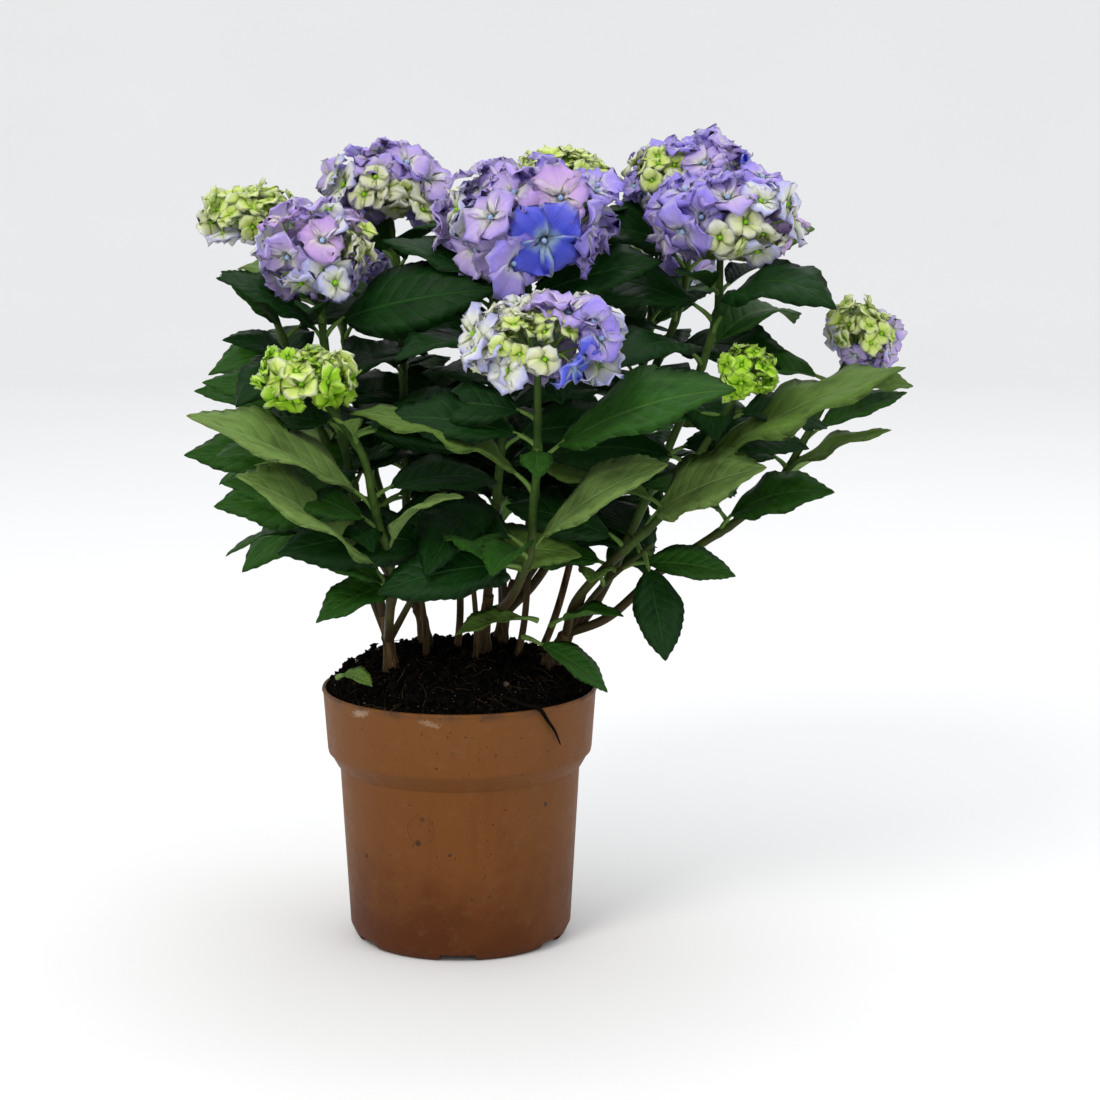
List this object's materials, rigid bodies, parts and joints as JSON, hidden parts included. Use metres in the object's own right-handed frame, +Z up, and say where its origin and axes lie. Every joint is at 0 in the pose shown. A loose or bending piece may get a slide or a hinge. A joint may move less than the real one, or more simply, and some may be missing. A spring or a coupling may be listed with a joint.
{
  "type": "potted hydrangea shrub",
  "caption": "Bushy mophead hydrangea in a plastic nursery pot, with big serrated leaves and domed flower heads that open from green to lilac and blue.",
  "frame": {"origin": "centre of the pot's flat underside, on the surface that the pot stands on", "axes": "+Z up along the pot's axis; -Y is the side that the shrub is usually seen from; +X is to the right from there"},
  "size_m": [0.3567, 0.32, 0.4036],
  "materials": {
    "pot": "satin",
    "soil": "matte",
    "bark": "matte",
    "green_stem": "satin",
    "leaf": "satin",
    "flower": "matte",
    "green_flower": "matte"
  },
  "bodies": {
    "root": {"pot": "pot", "soil": "soil", "cane_back_left": "bark", "cane_back_right": "bark", "cane_left": "bark", "cane_middle": "bark", "cane_right": "bark", "shoot_centre": "green_stem", "shoot_centre_back": "green_stem", "shoot_centre_back_length2": "green_stem", "shoot_far_left": "green_stem", "shoot_far_right": "green_stem", "shoot_far_right_length2": "green_stem", "shoot_front_centre": "green_stem", "shoot_front_centre_length2": "green_stem", "shoot_front_left": "green_stem", "shoot_front_right": "green_stem", "shoot_left": "green_stem", "shoot_left_back": "green_stem", "shoot_rear_centre": "green_stem", "shoot_rear_left": "green_stem", "shoot_rear_right": "green_stem", "shoot_right": "green_stem", "shoot_right_back": "green_stem", "shoot_right_length2": "green_stem", "leaves_centre": "leaf", "leaves_centre_back": "leaf", "leaves_far_left": "leaf", "leaves_far_right": "leaf", "leaves_front_centre": "leaf", "leaves_front_left": "leaf", "leaves_front_right": "leaf", "leaves_left": "leaf", "leaves_left_back": "leaf", "leaves_low_back": "leaf", "leaves_low_back_left": "leaf", "leaves_low_back_right": "leaf", "leaves_low_front": "leaf", "leaves_low_left": "leaf", "leaves_low_right": "leaf", "leaves_rear_centre": "leaf", "leaves_rear_left": "leaf", "leaves_rear_right": "leaf", "leaves_right": "leaf", "leaves_right_back": "leaf", "head_centre": "flower", "head_centre_back": "flower", "head_far_left": "flower", "head_far_right": "flower", "head_front_centre": "flower", "head_front_left": "green_flower", "head_front_right": "green_flower", "head_left": "flower", "head_left_back": "flower", "head_rear_centre": "flower", "head_rear_left": "flower", "head_rear_right": "flower", "head_right": "flower", "head_right_back": "flower"}
  },
  "joints": []
}
